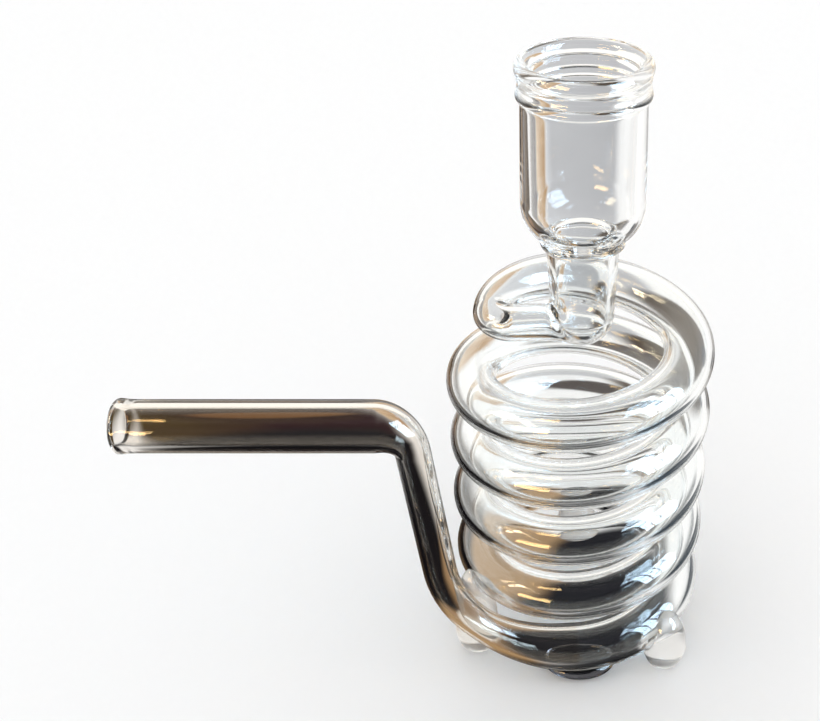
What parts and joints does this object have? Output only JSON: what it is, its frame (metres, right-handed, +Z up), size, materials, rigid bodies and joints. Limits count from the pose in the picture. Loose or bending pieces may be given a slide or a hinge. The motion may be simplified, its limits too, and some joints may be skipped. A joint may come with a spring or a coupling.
{
  "type": "coiled glass vessel",
  "caption": "Upright clear glass helix on small clear feet, with an open cup on a neck above its axis and a riser that bends into a level side arm.",
  "frame": {"origin": "under the middle of the object's box, on the plane of the feet", "axes": "+Z up along the coil's axis, -X along the side arm towards its open end, +Y away from the side arm"},
  "size_m": [0.112, 0.0534, 0.1284],
  "materials": {
    "cup_glass": "clear, fire polished",
    "neck_glass": "clear, flame worked",
    "coil_glass": "clear drawn tube",
    "arm_glass": "clear drawn tube",
    "foot_glass": "clear, melted blob"
  },
  "bodies": {
    "root": {"cup_rim": "cup_glass", "cup_collar": "cup_glass", "cup_bead": "cup_glass", "cup_body": "cup_glass", "neck_bead": "neck_glass", "neck_tube": "neck_glass", "inlet_elbow": "neck_glass", "inlet_curl": "neck_glass", "coil_turn_1": "coil_glass", "coil_turn_2": "coil_glass", "coil_turn_3": "coil_glass", "coil_turn_4": "coil_glass", "coil_base_turn": "coil_glass", "outlet_sweep": "arm_glass", "outlet_riser": "arm_glass", "arm_elbow": "arm_glass", "side_arm": "arm_glass", "arm_lip": "arm_glass", "foot_left": "foot_glass", "foot_right": "foot_glass", "foot_front": "foot_glass", "foot_back": "foot_glass"}
  },
  "joints": []
}
